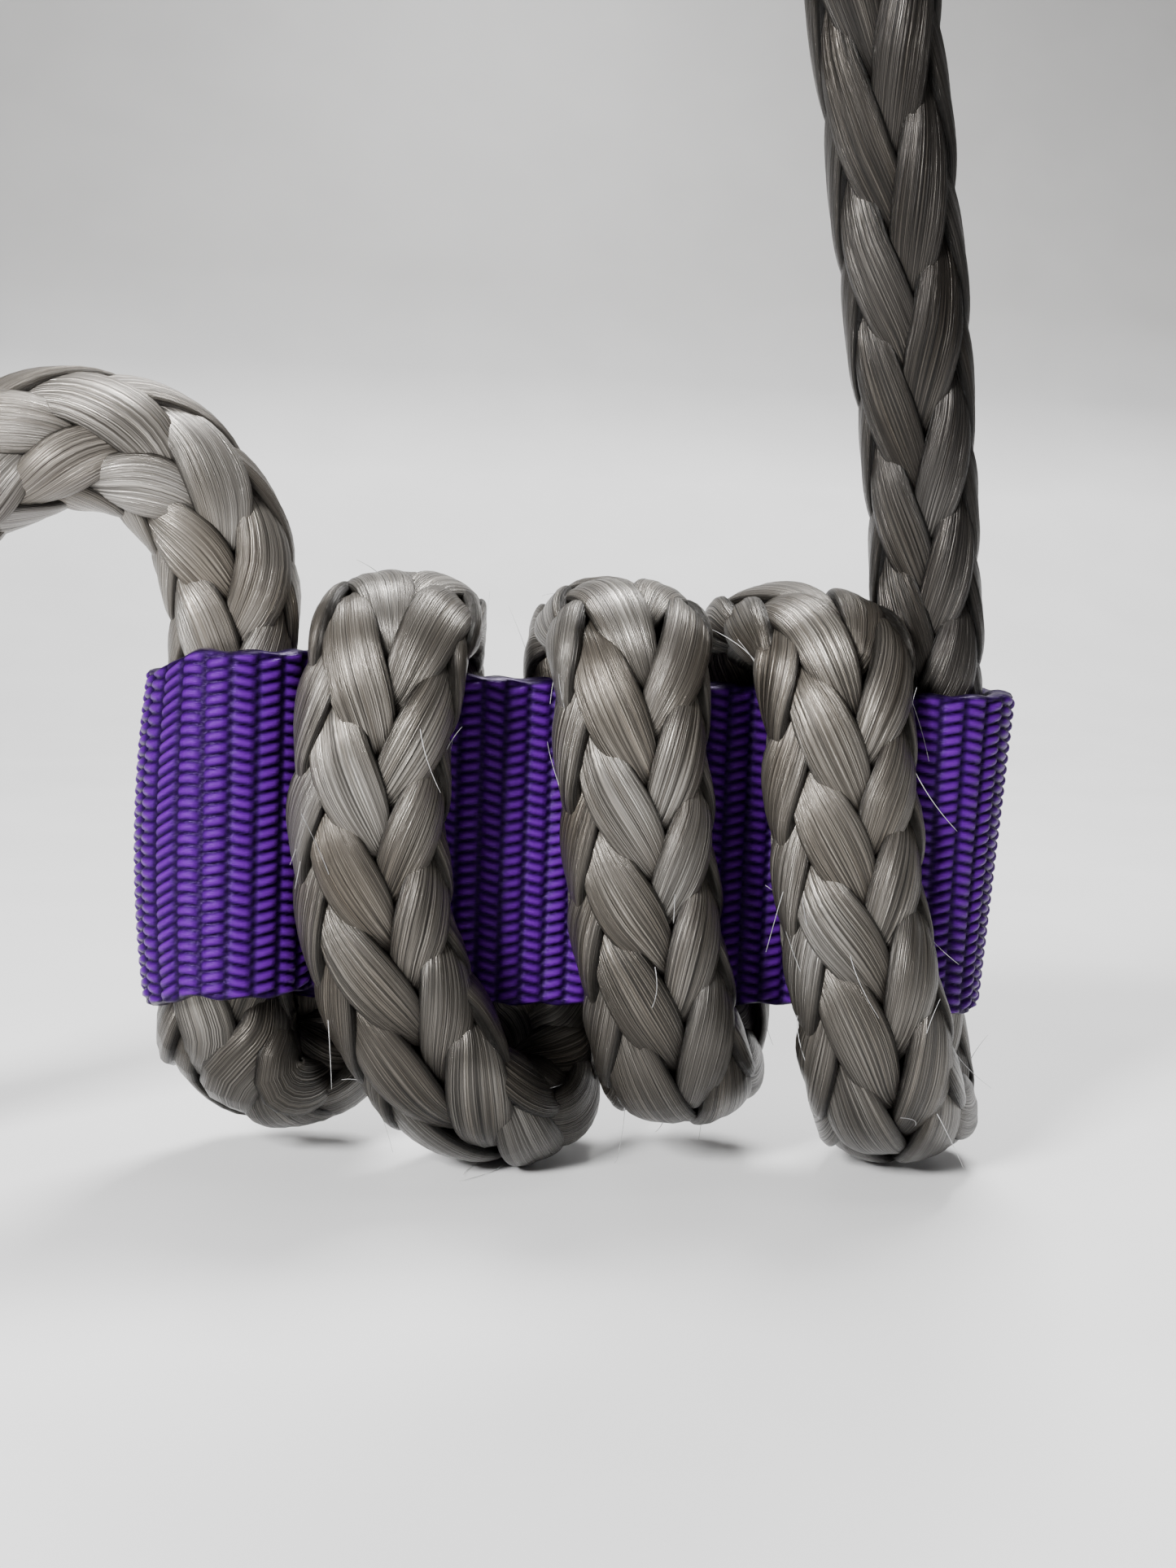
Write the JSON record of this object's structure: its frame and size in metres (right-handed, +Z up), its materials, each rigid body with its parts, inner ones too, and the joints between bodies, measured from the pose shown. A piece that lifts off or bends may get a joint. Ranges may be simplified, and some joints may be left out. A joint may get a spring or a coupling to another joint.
{
  "type": "rope sling with webbing band",
  "caption": "Grey hollow-braid rope sling wound in helical turns round a purple webbing band, with a soft spliced eye on each leg.",
  "frame": {"origin": "middle of the overall box, on the surface that the turns stand on", "axes": "+X along the webbing band from the left leg to the upright leg, +Y from the band's front face to its back, +Z up"},
  "size_m": [0.1968, 0.0426, 0.1731],
  "materials": {
    "rope": "satin flattened fibre strands",
    "webbing": "coarse ribbed woven webbing",
    "seam_thread": "twisted sewing thread",
    "whipping_twine": "waxed twine"
  },
  "bodies": {
    "turns": {"webbing_band": "webbing", "seam_thread": "seam_thread", "rope_left_run": "rope", "rope_turn_1": "rope", "rope_turn_2": "rope", "rope_turn_3": "rope", "rope_right_run": "rope"},
    "left_leg": {"left_leg": "rope", "left_eye": "rope", "left_eye_whipping": "whipping_twine"},
    "right_leg": {"right_leg": "rope", "right_eye": "rope", "right_eye_whipping": "whipping_twine"}
  },
  "joints": [
    {"name": "left_leg_swing", "type": "hinge", "parent": "turns", "child": "left_leg", "pos_m": [0.02615, 0.004, 0.0464], "axis": [0, 0, 1], "range_deg": [-40, 40]},
    {"name": "right_leg_lean", "type": "hinge", "parent": "turns", "child": "right_leg", "pos_m": [0.09025, 0.004, 0.047], "axis": [0, 1, 0], "range_deg": [-8, 35]}
  ]
}
